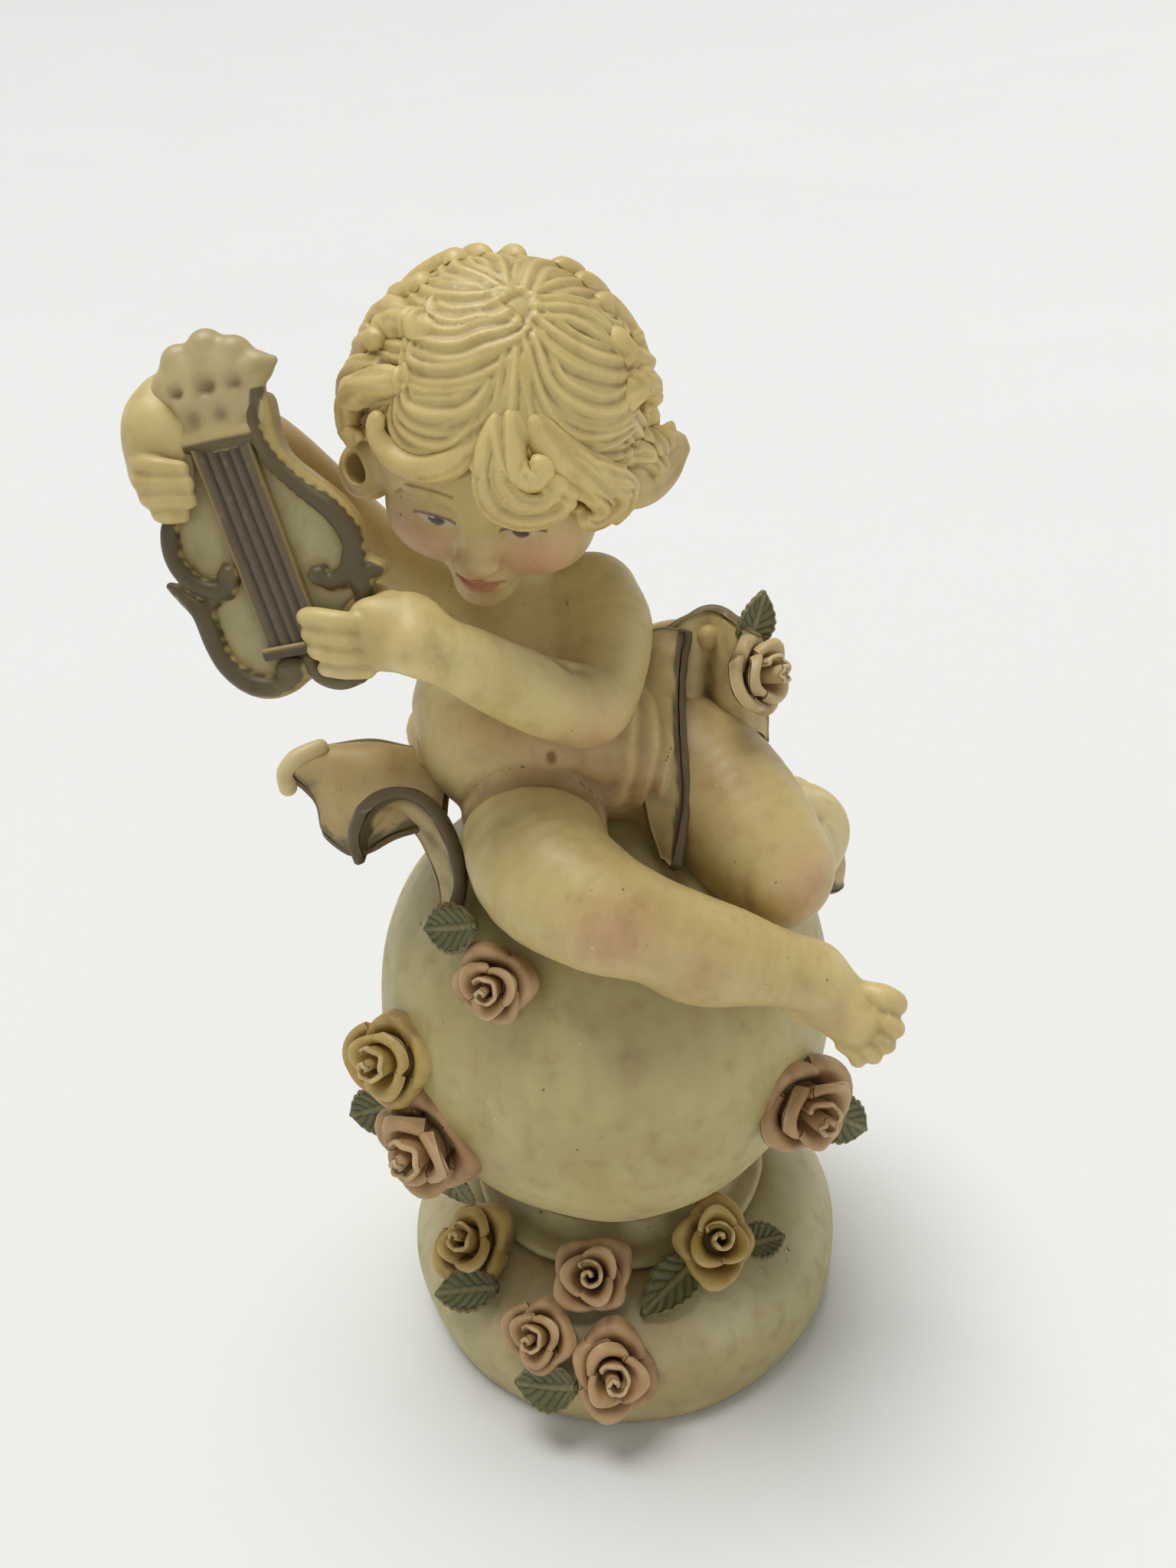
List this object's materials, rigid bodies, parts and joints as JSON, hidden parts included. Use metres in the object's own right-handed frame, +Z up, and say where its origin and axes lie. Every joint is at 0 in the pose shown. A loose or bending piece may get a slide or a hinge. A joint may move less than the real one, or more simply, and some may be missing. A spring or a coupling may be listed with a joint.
{
  "type": "cherub figurine",
  "caption": "Cast resin cherub holding a lyre, seated on a globe above a round pedestal, trimmed with roses, leaves and painted drapery.",
  "frame": {"origin": "centre of the flat underside of the base", "axes": "+Z up through the globe; the front that the cherub faces is -Y; the lyre is on the -X side"},
  "size_m": [0.0892, 0.0759, 0.1645],
  "materials": {
    "cream_resin": "aged satin cream resin with brown wash",
    "skin_resin": "aged satin flesh-cream resin, pink blush on cheeks and knees",
    "hair_resin": "aged satin cream resin with brown wash in the grooves",
    "lyre_ochre": "satin ochre and umber paint on cast resin",
    "lyre_cream": "aged satin cream resin",
    "lyre_umber": "satin umber paint on cast resin",
    "drapery_ochre": "satin ochre paint with umber edges on cast resin",
    "rose_pink": "satin dusty pink paint on cast resin",
    "rose_yellow": "satin yellow ochre paint on cast resin",
    "leaf_green": "satin olive paint on cast resin"
  },
  "bodies": {
    "root": {"base_plinth": "cream_resin", "neck_collar": "cream_resin", "globe": "cream_resin", "cherub_torso": "skin_resin", "cherub_head": "skin_resin", "cherub_left_arm": "skin_resin", "cherub_right_arm": "skin_resin", "cherub_left_leg": "skin_resin", "cherub_right_leg": "skin_resin", "cherub_hair": "hair_resin", "lyre_body": "lyre_ochre", "lyre_crown": "lyre_cream", "lyre_string_panel": "lyre_umber", "lyre_bridge": "lyre_umber", "drape_left_flutter": "drapery_ochre", "drape_left_fold": "drapery_ochre", "drape_centre_tail": "drapery_ochre", "drape_hip_sash": "drapery_ochre", "drape_back_swag": "drapery_ochre", "drape_knee_fold": "drapery_ochre", "rose_hip": "rose_pink", "rose_thigh": "rose_pink", "rose_globe_left_lower": "rose_pink", "rose_globe_right": "rose_pink", "rose_base_centre": "rose_pink", "rose_base_lower_left": "rose_pink", "rose_base_front": "rose_pink", "rose_globe_left_upper": "rose_yellow", "rose_base_left": "rose_yellow", "rose_base_right": "rose_yellow", "leaf_hip": "leaf_green", "leaf_thigh": "leaf_green", "leaf_globe_left": "leaf_green", "leaf_globe_left_lower": "leaf_green", "leaf_globe_right": "leaf_green", "leaf_base_left": "leaf_green", "leaf_base_centre": "leaf_green", "leaf_base_right": "leaf_green", "leaf_base_front": "leaf_green"}
  },
  "joints": []
}
